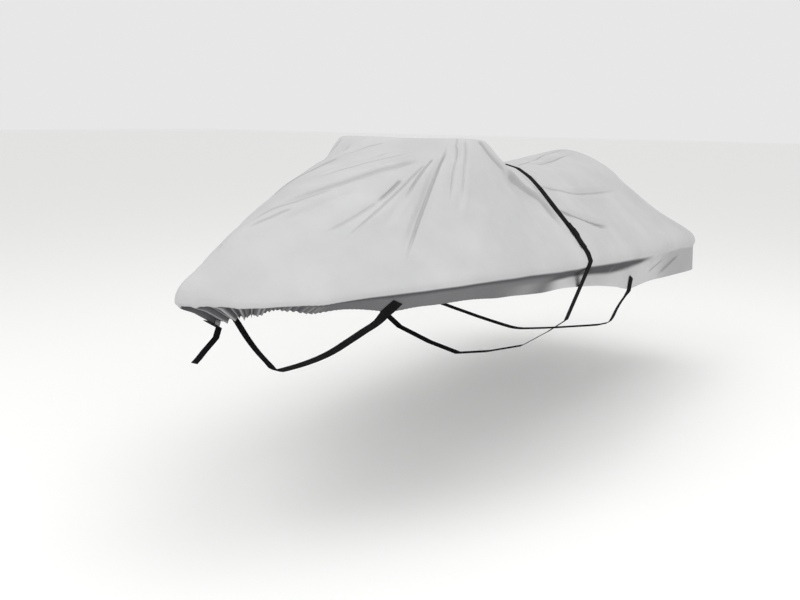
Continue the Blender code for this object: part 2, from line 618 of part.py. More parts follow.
def mid_strap(tree, strap_material, buckle_material):
    """The trailering strap: sewn to the buckle, right round, and threaded back through it."""
    before, after = BUCKLE_ANGLE + BUCKLE_HALF_ANGLE, BUCKLE_ANGLE - BUCKLE_HALF_ANGLE
    last = after + 360.0
    chines = [math.degrees(math.atan2(h - MID_CENTRE, side * y)) % 360.0
              for y, h in HULL_UNDER_MID for side in (1, -1)]
    angles = np.radians(sorted(list(np.arange(before, last, RAY_STEP)) + chines + [last]))
    fore, aft = mid_ring(tree, angles)
    kept = turning_points(np.hstack((fore, aft)), RING_TOLERANCE)
    fore, aft = fore[kept], aft[kept]
    centre_line = 0.5 * (fore + aft)
    wide = unit(fore - aft)
    out = unit(np.cross(along_path(centre_line), wide))
    ring = centre_line + 0.5 * WEB_THICK * out

    fore_at, aft_at = mid_ring(tree, np.radians([before, BUCKLE_ANGLE, after]))
    buckle_line = 0.5 * (fore_at + aft_at)
    across_dir = unit(fore_at - aft_at)[1]
    down = unit(buckle_line[2] - buckle_line[0])
    face = unit(np.cross(across_dir, down))
    origin = buckle_line[1]
    columns = np.linspace(BUCKLE_LINES_X[0], BUCKLE_LINES_X[-1], SEAT_COLUMNS)
    corners = [origin + 0.001 * (x * across_dir + t * down + BUCKLE_BACK * face)
               for t in BUCKLE_LINES_T for x in columns]
    gaps = []
    for corner in corners:
        foot, normal, _face, _distance = tree.find_nearest(Vector(corner))
        gaps.append((corner - np.array(foot)) @ np.array(normal))
    origin = origin + max(0.0, SEAT - min(gaps)) * face

    def place(x, t, n):
        return origin + 0.001 * (x * across_dir + t * down + n * face)

    loop_up = [(t, n) for t, n in SEWN_PATH] + half_turn(LOOP_TOP, 90, -90)
    loop_up += [(STRAP_UNDER, WEB_BACK)]
    loop_low = [(STRAP_IN, WEB_BACK)] + half_turn(LOOP_LOW, 270, 90)
    start = [place(0.0, t, n) for t, n in loop_up]
    finish = [place(0.0, t, n) for t, n in loop_low]
    tail_run = TAIL_PATH[-1][0] - TAIL_FROM
    for t, n in TAIL_PATH:
        finish.append(place(TAIL_SKEW * (t - TAIL_FROM) / tail_run, t, n))
    path = np.array(start + list(ring) + finish)
    all_wide = np.array([across_dir] * len(start) + list(wide) + [across_dir] * len(finish))
    strap = band("mid_strap", path, all_wide, WEB_WIDTH, strap_material)

    points = [place(x, t, n) for n in (BUCKLE_BACK, BUCKLE_FRONT)
              for t in BUCKLE_LINES_T for x in BUCKLE_LINES_X]
    buckle = slotted_plate("mid_buckle", points, buckle_material)
    return strap, buckle


def slotted_plate(name, points, material):
    """A flat buckle: a grid of cells with two slots left out, given a front and a back."""
    across_count, down_count = len(BUCKLE_LINES_X), len(BUCKLE_LINES_T)
    layer = across_count * down_count
    cells = {(i, j) for i in range(down_count - 1) for j in range(across_count - 1)}
    cells -= {(1, 1), (3, 1)}
    faces = []
    for i, j in sorted(cells):
        corner = i * across_count + j
        quad = (corner, corner + 1, corner + across_count + 1, corner + across_count)
        faces += [quad[::-1], tuple(layer + k for k in quad)]
        sides = (((i - 1, j), quad[0], quad[1]), ((i, j + 1), quad[1], quad[2]),
                 ((i + 1, j), quad[2], quad[3]), ((i, j - 1), quad[3], quad[0]))
        for neighbour, a, b in sides:
            if neighbour not in cells:
                faces.append((a, b, layer + b, layer + a))
    mesh = bpy.data.meshes.new(name)
    mesh.from_pydata([tuple(point) for point in points], [], faces)
    orient(mesh)
    return add_object(name, mesh, material)


def build():
    """Make every piece of the cover."""
    clear_scene()
    cloth = plain_material("grey coated polyester", (.58, .58, .59), .85)
    webbing = plain_material("black polyester webbing", (.012, .012, .013), .80)
    acetal = plain_material("black moulded acetal", (.010, .010, .011), .45)
    make_cover(cloth)
    tree = sheet_tree()
    hanging_strap("front_strap", FRONT_PATH, STEM_RISE, tree, webbing)
    hanging_strap("rear_strap", REAR_PATH, FORWARD, tree, webbing)
    bow_strap(tree, webbing)
    mid_strap(tree, webbing, acetal)


build()
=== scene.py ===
import math
from collections import namedtuple

import bpy
import numpy as np
from mathutils import Matrix, Vector
from mathutils.bvhtree import BVHTree


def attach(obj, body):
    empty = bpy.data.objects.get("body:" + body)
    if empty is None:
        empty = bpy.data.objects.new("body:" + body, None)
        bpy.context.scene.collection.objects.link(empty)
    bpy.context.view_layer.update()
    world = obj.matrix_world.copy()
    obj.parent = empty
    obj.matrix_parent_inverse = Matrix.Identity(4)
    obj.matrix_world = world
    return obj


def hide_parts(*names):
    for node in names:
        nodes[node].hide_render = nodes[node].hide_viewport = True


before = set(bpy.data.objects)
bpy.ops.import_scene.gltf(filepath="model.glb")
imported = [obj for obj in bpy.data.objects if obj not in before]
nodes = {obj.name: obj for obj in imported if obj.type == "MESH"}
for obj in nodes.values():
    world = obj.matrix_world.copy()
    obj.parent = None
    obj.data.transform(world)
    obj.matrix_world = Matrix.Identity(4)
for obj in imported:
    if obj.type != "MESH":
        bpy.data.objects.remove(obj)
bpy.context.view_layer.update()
scene = bpy.context.scene


# The camera stands ahead of the port bow at head height and looks a little down on the cover,
# as someone does who walks up to a parked trailer.
TOP_STATION = 1.22          # metres from the bow tip aft to the frame's origin
TOP_HEIGHT = 0.961          # metres from the keel up to it
LENS, SENSOR = 41.41, 36.0  # millimetres
EYE = (1.849, 1.936, 1.045)     # metres ahead of the bow tip, to port and above the keel
azimuth, pitch, roll = (math.radians(degrees) for degrees in (32.374, 11.2616, 0.755))
ahead = np.array((-math.cos(azimuth), -math.sin(azimuth), 0.0))
zenith = np.array((0.0, 0.0, 1.0))
level_right = np.array((-math.sin(azimuth), math.cos(azimuth), 0.0))
sight = ahead * math.cos(pitch) - zenith * math.sin(pitch)
level_up = ahead * math.sin(pitch) + zenith * math.cos(pitch)
right = level_right * math.cos(roll) + level_up * math.sin(roll)
up = level_up * math.cos(roll) - level_right * math.sin(roll)
camera_data = bpy.data.cameras.new("camera")
camera_data.lens = LENS
camera_data.sensor_width = SENSOR
camera = bpy.data.objects.new("camera", camera_data)
scene.collection.objects.link(camera)
turn = Matrix([list(row) for row in np.array((right, up, -sight)).T]).to_4x4()
eye = (EYE[0] + TOP_STATION, EYE[1], EYE[2] - TOP_HEIGHT)
camera.matrix_world = Matrix.Translation(eye) @ turn
scene.camera = camera


# A plain pale floor and plain soft studio light: a box ahead of the bow, a big one overhead,
# another on the side that faces the camera, and a pale room all round.
def linear(code):
    """A linear colour from an sRGB hex code."""
    channels = [int(code[i:i + 2], 16) / 255 for i in (1, 3, 5)]
    return tuple(c / 12.92 if c <= 0.04045 else ((c + 0.055) / 1.055) ** 2.4
                 for c in channels) + (1.0,)


def new_material(name, colour, roughness, specular):
    """A Principled material, with its shader."""
    material = bpy.data.materials.new(name)
    material.use_nodes = True
    shader = material.node_tree.nodes["Principled BSDF"]
    shader.inputs["Base Color"].default_value = linear(colour)
    shader.inputs["Roughness"].default_value = roughness
    shader.inputs["Specular IOR Level"].default_value = specular
    return material, shader


def area_light(name, place, target, size, power):
    """A square soft box at place, turned to target: size in metres, power in watts."""
    lamp = bpy.data.lights.new(name, "AREA")
    lamp.size = size
    lamp.energy = power
    box = bpy.data.objects.new(name, lamp)
    box.location = place
    box.rotation_mode = "QUATERNION"
    box.rotation_quaternion = (Vector(target) - Vector(place)).to_track_quat("-Z", "Y")
    scene.collection.objects.link(box)


UNDER_KEEL = 0.31           # metres from the keel down to the floor, as on a trailer's wheels
FLOOR_REACH = 60.0          # metres to each side, so that its edge is far off
ROOM_LIGHT = 0.80           # strength of the white room
floor_height = -UNDER_KEEL - TOP_HEIGHT
floor_corners = [(x * FLOOR_REACH, y * FLOOR_REACH, floor_height)
                 for x, y in ((-1, -1), (1, -1), (1, 1), (-1, 1))]
floor_mesh = bpy.data.meshes.new("floor")
floor_mesh.from_pydata(floor_corners, [], [(0, 1, 2, 3)])
floor = bpy.data.objects.new("floor", floor_mesh)
scene.collection.objects.link(floor)
# matt painted floor, pale so that the render's ground is nearly white
floor_paint, _shader = new_material("pale matt floor paint", "#FAFAF9", 0.9, 0.1)
floor_mesh.materials.append(floor_paint)
area_light("bow box", (3.4, -1.0, 3.4), (-0.4, 0.0, -0.5), 2.4, 56.0)
area_light("overhead box", (-1.0, 0.8, 4.4), (-0.9, 0.0, -0.4), 4.5, 58.0)
area_light("port box", (1.2, 5.2, 1.8), (-0.8, 0.0, -0.4), 4.5, 58.0)
world = bpy.data.worlds.new("pale room")
world.use_nodes = True
room = world.node_tree.nodes["Background"]
room.inputs["Color"].default_value = (1.0, 1.0, 1.0, 1.0)
room.inputs["Strength"].default_value = ROOM_LIGHT
scene.world = world
scene.view_settings.view_transform = "Standard"


# The cover is one cloth, sewn to the craft's shape, drawn in at the hem by an elastic and held
# up by the handlebars and the seat. The same ribs shape it as shape its solid, taken finer.

# One row for each rib of the cover, from the stem round the port side to the middle of the
# stern. A rib leaves the centreline at spine, passes the shoulder and the flank, which are given
# as shares of the way out to the edge, turns under at the edge with the given round, cuts back
# by tuck under it and ends in the hem. steps is the number of mesh ribs to the next row, and
# bend is how softly the cloth turns over the shoulder, 1 where nothing stretches it.
Rib = namedtuple("Rib", "steps spine crown shoulder shoulder_h flank flank_h "
                        "edge_s edge_y edge_h round hem_s hem_y hem_h tuck bend")
RIBS = [
    Rib(14, .190, .658, .50, .598, .88, .551, .000, .000, .486, .020, .160, .000, .394, .00, 1),
    Rib(18, .202, .662, .48, .600, .86, .550, .021, .034, .485, .019, .168, .030, .404, .00, 1),
    Rib(22, .225, .672, .45, .607, .82, .546, .077, .078, .482, .016, .178, .060, .412, .00, 1),
    Rib(28, .265, .690, .42, .628, .77, .550, .150, .148, .473, .013, .205, .100, .416, .00, 1),
    Rib(34, .330, .716, .39, .656, .72, .562, .262, .235, .475, .011, .280, .180, .436, .00, 1),
    Rib(26, .430, .755, .37, .696, .68, .590, .420, .345, .492, .011, .420, .290, .455, .00, 1),
    Rib(32, .600, .812, .38, .754, .66, .634, .600, .445, .500, .012, .600, .390, .441, .00, 1),
    Rib(28, .820, .860, .42, .812, .70, .666, .820, .540, .504, .014, .820, .485, .441, .00, 1),
    Rib(24, 1.000, .882, .46, .850, .74, .680, 1.000, .583, .500,
        .016, 1.000, .530, .428, .00, .9),
    Rib(18, 1.130, .912, .49, .890, .76, .690, 1.130, .598, .494,
        .017, 1.130, .546, .418, .00, .6),
    Rib(14, 1.225, .964, .505, .962, .78, .702, 1.225, .604, .488,
        .018, 1.225, .552, .409, .00, .3),
    Rib(16, 1.300, .963, .505, .958, .78, .700, 1.300, .607, .481,
        .020, 1.300, .556, .402, .00, .3),
    Rib(18, 1.400, .925, .50, .906, .77, .690, 1.400, .608, .473,
        .022, 1.400, .558, .395, .01, .7),
    Rib(18, 1.540, .876, .45, .858, .77, .672, 1.540, .608, .462, .025, 1.540, .560, .387, .02, 1),
    Rib(14, 1.700, .848, .43, .838, .76, .660, 1.700, .602, .452, .026, 1.700, .554, .368, .03, 1),
    Rib(12, 1.880, .838, .40, .820, .75, .662, 1.880, .609, .439, .026, 1.880, .564, .347, .03, 1),
    Rib(12, 2.120, .837, .38, .804, .72, .646, 2.120, .611, .424, .026, 2.120, .568, .309, .02, 1),
    Rib(12, 2.360, .840, .37, .800, .71, .632, 2.360, .612, .408, .028, 2.360, .574, .275, .02, 1),
    Rib(12, 2.600, .867, .36, .806, .70, .618, 2.600, .614, .396, .030, 2.600, .582, .270, .01, 1),
    Rib(8, 2.820, .884, .37, .806, .70, .604, 2.820, .616, .390, .032, 2.820, .594, .260, .01, 1),
    Rib(8, 2.920, .862, .37, .762, .70, .584, 3.006, .618, .384, .031, 3.006, .604, .252, .00, 1),
    Rib(8, 2.970, .836, .38, .717, .70, .560, 3.194, .617, .371, .029, 3.194, .612, .244, .00, 1),
    Rib(12, 3.000, .812, .40, .678, .72, .538, 3.322, .590, .368, .028, 3.322, .586, .238, .00, 1),
    Rib(8, 3.020, .792, .42, .651, .76, .520, 3.370, .446, .369, .029, 3.366, .440, .235, .00, 1),
    Rib(8, 3.035, .776, .44, .633, .80, .505, 3.378, .223, .370, .030, 3.372, .220, .234, .00, 1),
    Rib(0, 3.050, .762, .45, .623, .82, .499, 3.380, .000, .370, .030, 3.374, .000, .234, .00, 1),
]

# Steps across a rib: spine, shoulder, flank, above the edge, widest, edge, tuck, hem
CROSS_STEPS = (32, 30, 15, 5, 5, 6, 11)
COARSER = 1        # mesh steps are divided by this
SHOULDER, EDGE = 1, 5       # places of these two in that list
ROLL_IN, ROLL_UP = 0.5, 2.2     # where the roll above the edge starts, in rounds in and up
TURN_IN = 0.3               # how far under the edge the turn ends, in rounds
TUCK_SHARE = 0.36           # the deepest part of the tuck, as a share of the skirt

# Tension folds in the cloth, each along a path of (station, half-breadth, height) on its own
# side of the cover: side is 1 for port and -1 for starboard. A fold is a trough of the given
# depth with a ridge of the given lift beside it, and ridge_side says on which side of the path
# the ridge is. The fold's half width grows from width0 to width1.
FOLD_REACH = 0.08           # a fold acts on cloth that lies this near its path
FAR = 9.0                   # a distance at which no fold shows
RIDGE_AT = 1.8              # half widths from a trough to its ridge
FADE_IN, FADE_OUT = 0.15, 0.55  # shares of its path over which a fold starts and ends
Fold = namedtuple("Fold", "side path width0 width1 depth lift ridge_side")
FOLDS = [
    # from the port end of the handlebars down the port flank
    Fold(1, ((1.19, .24, .945), (1.06, .31, .836), (.96, .36, .760)), .017, .028, .007, .004, 1),
    Fold(1, ((1.17, .22, .932), (.99, .275, .840), (.74, .348, .656), (.60, .385, .570)),
         .017, .027, .005, .003, 1),
    Fold(1, ((.90, .225, .838), (.70, .224, .762), (.47, .178, .678)), .018, .021, .007, .004, -1),
    Fold(1, ((1.13, .165, .905), (.79, .105, .846), (.50, .03, .776)), .022, .032, .007, .004, 1),
    # the valley behind the port end, which the mid strap pulls down
    Fold(1, ((1.29, .39, .850), (1.42, .42, .755), (1.56, .46, .674), (1.66, .51, .600)),
         .038, .028, .014, .005, -1),
    Fold(1, ((1.44, .28, .880), (1.60, .36, .770), (1.68, .44, .680)), .019, .017, .005, .003, 1),
    # the seat
    Fold(1, ((2.22, .11, .830), (2.45, .09, .852), (2.68, .06, .873)), .022, .025, .007, .005, -1),
    Fold(1, ((1.77, .43, .670), (1.97, .50, .606), (2.20, .52, .570)), .017, .024, .007, .004, 1),
    Fold(1, ((1.80, .34, .764), (2.10, .35, .727), (2.60, .35, .690)), .022, .028, .004, .003, 1),
    # the skirt at the port quarter
    Fold(1, ((2.96, .60, .350), (2.66, .58, .280)), .013, .015, .005, .003, 1),
    # the starboard side has its own folds from its end of the handlebars
    Fold(-1, ((1.18, .23, .940), (1.02, .31, .820), (.84, .37, .690)), .018, .028, .008, .005, 1),
    Fold(-1, ((1.10, .19, .900), (.80, .20, .810), (.52, .17, .700)), .019, .025, .007, .004, -1),
    Fold(-1, ((1.30, .39, .850), (1.45, .43, .740), (1.63, .49, .630)),
         .036, .028, .013, .005, -1),
    Fold(-1, ((1.80, .42, .680), (2.02, .49, .606), (2.24, .52, .570)), .018, .024, .006, .003, 1),
]

# Pleats where the elastic draws the bow in: distance along the edge from the stem (port
# positive), half width, and how far the pleat stands out at the hem.
Pleat = namedtuple("Pleat", "place half_width height")
PLEATS = [
    Pleat(-.345, .020, .007), Pleat(-.250, .022, .010), Pleat(-.170, .018, .012),
    Pleat(-.092, .018, .014), Pleat(-.020, .016, .012), Pleat(.052, .017, .014),
    Pleat(.110, .016, .012), Pleat(.175, .018, .010), Pleat(.255, .020, .008),
    Pleat(.350, .020, .006),
]
PLEAT_SHARE = (0.0, 0.0, 0.0, 0.0, .15, .60, 1.0, 1.0)   # how much shows at each rib control
PLEAT_VALLEY = 0.35         # depth between two pleats, as a share of their height
PLEATS_FADE, PLEATS_END = .32, .45      # distance from the stem over which they die out

# Narrower folds, each a row like those of the folds above
CREASE_OUT = 0.75           # share of its path from which one dies out
CREASES = [
    # from the port end of the handlebars down the port flank
    Fold(1, ((1.180, .210, .944), (.986, .270, .844), (.819, .316, .732), (.623, .371, .587)),
         .009, .012, .007, .004, -1),
    Fold(1, ((1.206, .276, .960), (1.112, .326, .852), (.935, .400, .691)),
         .009, .014, .003, .003, -1),
    # forward over the bow deck
    Fold(1, ((1.098, .156, .900), (.934, .122, .868), (.686, .082, .822), (.408, .000, .747)),
         .012, .013, .005, .005, 1),
    Fold(1, ((.709, .157, .805), (.558, .115, .766), (.379, .066, .713)),
         .013, .012, .004, .003, 1),
    Fold(1, ((.867, .257, .811), (.774, .268, .760), (.652, .281, .674)),
         .01, .014, .003, .003, -1),
    # under the port corner and down the valley to the mid strap
    Fold(1, ((1.247, .305, .960), (1.276, .350, .901), (1.360, .387, .825)),
         .011, .014, .009, .006, 1),
    Fold(1, ((1.350, .375, .840), (1.485, .398, .775), (1.583, .420, .720), (1.658, .520, .597)),
         .014, .011, .015, .008, -1),
    # the seat, and what the strap pulls into it
    Fold(1, ((2.249, .093, .834), (2.544, .079, .853), (2.765, .080, .870)),
         .018, .018, .007, .006, 1),
    Fold(1, ((1.726, .369, .753), (1.932, .374, .732), (2.219, .363, .708), (2.694, .350, .695)),
         .018, .018, .005, .004, -1),
    Fold(1, ((1.722, .451, .667), (1.838, .480, .638), (1.987, .510, .599), (2.226, .523, .559)),
         .018, .022, .006, .004, -1),
    # the bow deck beyond the middle, and the starboard side
    Fold(-1, ((1.140, .015, .915), (.960, .055, .876), (.674, .068, .823)),
         .012, .012, .005, .004, 1),
    Fold(-1, ((1.18, .22, .94), (1.02, .27, .86), (.75, .37, .64)), .009, .012, .008, .005, 1),
    Fold(-1, ((1.21, .28, .96), (1.11, .33, .85), (.98, .39, .71)), .009, .014, .004, .004, 1),
    Fold(-1, ((1.22, .30, .96), (1.26, .38, .86), (1.35, .42, .77)), .011, .014, .009, .005, -1),
    Fold(-1, ((1.33, .37, .85), (1.45, .43, .74), (1.62, .53, .60)), .016, .012, .013, .005, 1),
    Fold(-1, ((1.74, .44, .68), (1.90, .49, .62), (2.20, .52, .57)), .018, .022, .006, .004, 1),
    Fold(-1, ((1.76, .36, .75), (2.08, .37, .72), (2.45, .35, .70)), .018, .018, .005, .004, -1),
]

# Crease lines, most of them a few millimetres wide, which the cloth keeps from tight pulls:
# side, path, which of three layers draws it, half width and depth. Lines that lie near each
# other are in different layers.
Line = namedtuple("Line", "side path layer width depth")
LAYERS = "abc"
LINES = [
    # down the port flank from the end of the handlebars
    Line(1, ((1.180, .212, .944), (.978, .281, .834), (.805, .329, .711), (.614, .386, .573)),
         "a", .005, .005),
    Line(1, ((1.246, .226, .965), (1.089, .299, .866), (.948, .360, .743)), "b", .004, .0024),
    Line(1, ((1.221, .270, .963), (1.114, .327, .852), (1.014, .375, .753)), "a", .004, .002),
    # forward from there, long and thin
    Line(1, ((1.098, .205, .896), (.954, .240, .848), (.786, .272, .762)), "b", .0045, .0044),
    Line(1, ((1.050, .208, .881), (.845, .238, .815), (.674, .238, .735), (.496, .221, .646)),
         "c", .004, .0034),
    Line(1, ((.868, .215, .833), (.776, .222, .798), (.700, .222, .764)), "a", .0045, .005),
    Line(1, ((.718, .224, .771), (.577, .202, .716), (.459, .174, .675)), "a", .005, .0024),
    Line(1, ((1.098, .156, .900), (.940, .118, .870), (.689, .080, .824), (.408, .000, .747)),
         "c", .007, .003),
    Line(1, ((.462, .059, .753), (.378, .034, .728), (.294, .008, .700)), "a", .005, .0032),
    Line(1, ((.651, .087, .811), (.510, .050, .775), (.403, .005, .744), (.290, -.012, .698)),
         "b", .005, .003),
    Line(1, ((1.137, .079, .915), (1.006, .008, .883), (.805, -.005, .858), (.640, -.040, .826)),
         "a", .006, .0034),
    # down behind the port end of the handlebars
    Line(1, ((1.247, .305, .960), (1.276, .350, .901), (1.360, .387, .825)), "c", .016, .005),
    # beside the mid strap, and on the seat
    Line(1, ((1.350, .375, .840), (1.485, .398, .775), (1.583, .420, .720), (1.658, .520, .597)),
         "b", .022, .006),
    Line(1, ((1.634, .302, .824), (1.644, .367, .766), (1.685, .435, .685)), "a", .005, .004),
    Line(1, ((2.249, .093, .834), (2.528, .081, .851), (2.765, .080, .870)), "b", .005, .0044),
    Line(1, ((1.900, .140, .840), (2.489, .011, .853), (2.880, .010, .875)), "a", .005, .0044),
    Line(1, ((1.680, .350, .776), (1.870, .366, .744), (2.160, .363, .712), (2.720, .351, .694)),
         "b", .005, .0034),
    Line(1, ((1.700, .440, .678), (1.838, .480, .638), (1.955, .504, .606), (2.160, .515, .572)),
         "c", .008, .009),
    # the skirt at the port quarter
    Line(1, ((2.979, .606, .352), (2.840, .592, .315), (2.675, .586, .283)), "a", .005, .005),
    Line(1, ((2.736, .592, .356), (2.640, .586, .334), (2.531, .580, .308)), "b", .0045, .0044),
    Line(1, ((2.645, .603, .389), (2.586, .594, .373), (2.537, .582, .348)), "c", .004, .003),
    # the bow deck beyond the middle
    Line(-1, ((1.140, .015, .915), (.960, .055, .876), (.674, .068, .823)), "b", .007, .0026),
    Line(-1, ((1.184, .066, .946), (1.147, .148, .919), (1.076, .217, .888)), "c", .005, .0024),
    # the starboard flank, seat and quarter
    Line(-1, ((1.18, .22, .94), (1.02, .27, .86), (.75, .37, .64)), "a", .005, .005),
    Line(-1, ((1.10, .20, .89), (.82, .22, .80), (.52, .19, .69)), "b", .0045, .004),
    Line(-1, ((1.21, .28, .96), (1.11, .33, .85), (.98, .39, .71)), "c", .004, .0024),
    Line(-1, ((1.74, .44, .68), (1.90, .49, .62), (2.20, .52, .57)), "c", .005, .005),
    Line(-1, ((1.76, .36, .75), (2.08, .37, .72), (2.45, .35, .70)), "b", .005, .0034),
    Line(-1, ((2.94, .60, .35), (2.80, .59, .31), (2.67, .58, .28)), "b", .005, .005),
]
LINE_IN, LINE_OUT = 0.12, 0.70  # shares of its path over which a line starts and ends
LINE_REACH = 5.0            # half widths over which a line shows
PATH_STEPS = 4              # straight runs between two points of a path

# Places where a strap draws the hem down: station, half length, drop
HemDip = namedtuple("HemDip", "station half_length drop")
HEM_DIPS = [
    HemDip(0.560, 0.060, 0.007),
    HemDip(2.285, 0.130, 0.008),
]


def to_frame(station, half_breadth, height):
    """Turn a station, half-breadth and height into a point of the part's frame."""
    return np.array((TOP_STATION - station, half_breadth, height - TOP_HEIGHT))


def smooth_slopes(values):
    """Slopes of a curve through evenly spaced values that never overshoots them."""
    step = np.diff(values, axis=0)
    before, after = step[:-1], step[1:]
    same_way = before * after > 0
    total = np.where(same_way, before + after, 1.0)
    slopes = np.zeros_like(values)
    slopes[1:-1] = np.where(same_way, 2.0 * before * after / total, 0.0)
    return slopes


def hermite(a, b, slope_a, slope_b, t):
    """Point at t on the cubic from a to b with the given end slopes."""
    t2, t3 = t * t, t * t * t
    return ((2 * t3 - 3 * t2 + 1) * a + (t3 - 2 * t2 + t) * slope_a
            + (3 * t2 - 2 * t3) * b + (t3 - t2) * slope_b)


def rib_controls(rib):
    """The eight points that a rib passes through, from the spine to the hem."""
    spine = to_frame(rib.spine, 0.0, rib.crown)
    edge = to_frame(rib.edge_s, rib.edge_y, rib.edge_h)
    hem = to_frame(rib.hem_s, rib.hem_y, rib.hem_h)
    out = edge - spine
    out[2] = 0.0
    out_dir = out / np.linalg.norm(out)

    def part_way(share, height):
        point = spine + share * out
        point[2] = height - TOP_HEIGHT
        return point

    up = np.array((0.0, 0.0, 1.0))
    widest = edge + rib.round * up
    above = edge - ROLL_IN * rib.round * out_dir + ROLL_UP * rib.round * up
    turn = edge - TURN_IN * rib.round * out_dir
    skirt = hem - turn
    tuck = turn + TUCK_SHARE * skirt - rib.tuck * out_dir
    return np.array((spine, part_way(rib.shoulder, rib.shoulder_h),
                     part_way(rib.flank, rib.flank_h), above, widest, turn, tuck, hem))


def rib_stack():
    """Control points and bend of every mesh rib."""
    rows = np.array([rib_controls(rib) for rib in RIBS])
    mirror = np.array((1.0, -1.0, 1.0))
    padded = np.concatenate((rows[1:2] * mirror, rows, rows[-2:-1] * mirror))
    slopes = smooth_slopes(padded)[1:-1]
    stack, bends = [], []
    for i, rib in enumerate(RIBS[:-1]):
        count = rib.steps // COARSER
        for k in range(count):
            stack.append(hermite(rows[i], rows[i + 1], slopes[i], slopes[i + 1], k / count))
            bends.append(rib.bend + (RIBS[i + 1].bend - rib.bend) * k / count)
    return stack + [rows[-1]], bends + [RIBS[-1].bend]


def smooth_line(points, counts, bends=None):
    """A smooth curve from the second point to the last but one, in counts steps for each span.

    bends scales the curve's speed at each point, and so sharpens its turn there.
    """
    chords = np.sqrt(np.linalg.norm(np.diff(points, axis=0), axis=1))
    knots = np.concatenate(([0.0], np.cumsum(chords)))
    slopes = np.zeros_like(points)
    for i in range(1, len(points) - 1):
        before, after = knots[i] - knots[i - 1], knots[i + 1] - knots[i]
        back = (points[i] - points[i - 1]) / before
        ahead = (points[i + 1] - points[i]) / after
        slopes[i] = (back * after + ahead * before) / (before + after)
        if bends is not None:
            slopes[i] *= bends[i]
    line = []
    for i, count in enumerate(counts, 1):
        span = knots[i + 1] - knots[i]
        for k in range(count):
            line.append(hermite(points[i], points[i + 1], slopes[i] * span,
                                slopes[i + 1] * span, k / count))
    line.append(points[-2])
    return np.array(line)


def across(controls, bend):
    """Points along one rib, on a smooth curve through its control points."""
    spine, shoulder = controls[0], controls[1]
    run = shoulder - spine
    along_boat = abs(run[0]) / (math.hypot(run[0], run[1]) + 1e-9)
    beyond = spine + np.array((-run[0], -run[1], run[2] * (1.0 - 2.0 * along_boat)))
    tail = 2.0 * controls[-1] - controls[-2]
    points = np.concatenate(([beyond], controls, [tail]))
    bends = np.where(np.arange(len(points)) == SHOULDER + 1, bend, 1.0)
    return smooth_line(points, [steps // COARSER for steps in CROSS_STEPS], bends)


def control_places():
    """Where a rib's control points lie among its mesh points."""
    return np.concatenate(([0], np.cumsum([steps // COARSER for steps in CROSS_STEPS])))


def base_half():
    """The port half of the cover without its folds: an array [rib, place on the rib, xyz]."""
    half = np.array([across(*rib) for rib in zip(*rib_stack())])
    places = control_places()
    drop_share = np.interp(np.arange(half.shape[1]), places[-3:], (0.0, 0.5, 1.0))
    for dip in HEM_DIPS:
        station = TOP_STATION - half[:, -1, 0]
        pull = dip.drop * np.exp(-((station - dip.station) / dip.half_length) ** 2)
        half[:, :, 2] -= pull[:, None] * drop_share[None, :]
    return half


def unit(vectors):
    """Vectors scaled to length one along their last axis."""
    return vectors / np.maximum(np.linalg.norm(vectors, axis=-1, keepdims=True), 1e-9)


def outward(half):
    """Outward normals of the port half, which meets its own mirror image on the centreline."""
    mirror = np.array((1.0, -1.0, 1.0))
    ribs = np.concatenate((half[1:2] * mirror, half, half[-2:-1] * mirror))
    along = ribs[2:] - ribs[:-2]
    beyond_hem = 2.0 * half[:, -1:] - half[:, -2:-1]
    places = np.concatenate((half[:, 1:2] * mirror, half, beyond_hem), axis=1)
    down = places[:, 2:] - places[:, :-2]
    normals = unit(np.cross(down, along))
    normals[:, 0] = unit(normals[:, 1] * (1.0, 0.0, 1.0))
    return normals


def ramp(value, low, high):
    """Smooth step from 0 at low to 1 at high."""
    share = np.clip((value - low) / (high - low), 0.0, 1.0)
    return share * share * (3.0 - 2.0 * share)


def fold_place(points, normals, fold, side):
    """Distance of each point from a fold's line along the cloth, signed, and share along it.

    side is the side of the craft that the points lie on, as if it were the port one.
    """
    path = np.array([to_frame(*place) for place in fold.path]) * (1.0, fold.side * side, 1.0)
    path = np.concatenate(([2.0 * path[0] - path[1]], path, [2.0 * path[-1] - path[-2]]))
    path = smooth_line(path, [PATH_STEPS] * (len(fold.path) - 1))
    runs = np.linalg.norm(np.diff(path, axis=0), axis=1)
    starts = np.concatenate(([0.0], np.cumsum(runs)))
    nearest = np.full(points.shape[:-1], FAR)
    share = np.zeros(points.shape[:-1])
    for start, end, run, done in zip(path, path[1:], runs, starts):
        ahead = (end - start) / run
        rel = points - start
        reach = np.clip(rel @ ahead, 0.0, run)
        rel = rel - reach[..., None] * ahead
        lift_off = (rel * normals).sum(axis=-1)
        aside = rel - lift_off[..., None] * normals
        across_fold = np.cross(ahead, normals)
        signed = np.linalg.norm(aside, axis=-1) * np.sign((aside * across_fold).sum(axis=-1))
        closer = (np.abs(signed) < np.abs(nearest)) & (np.abs(lift_off) < FOLD_REACH)
        nearest = np.where(closer, signed, nearest)
        share = np.where(closer, (done + reach) / starts[-1], share)
    return nearest, share


def fold_relief(points, normals, side, folds, fade_out):
    """How far the folds move each point of one side along its normal."""
    relief = np.zeros(points.shape[:-1])
    for fold in folds:
        nearest, share = fold_place(points, normals, fold, side)
        width = fold.width0 + (fold.width1 - fold.width0) * share
        fade = ramp(share, 0.0, FADE_IN) * (1.0 - ramp(share, fade_out, 1.0))
        trough = np.exp(-(nearest / width) ** 2)
        ridge_at = RIDGE_AT * fold.ridge_side * fold.side * side * width
        ridge = np.exp(-((nearest - ridge_at) / width) ** 2)
        relief += fade * (fold.lift * ridge - fold.depth * trough)
    return relief


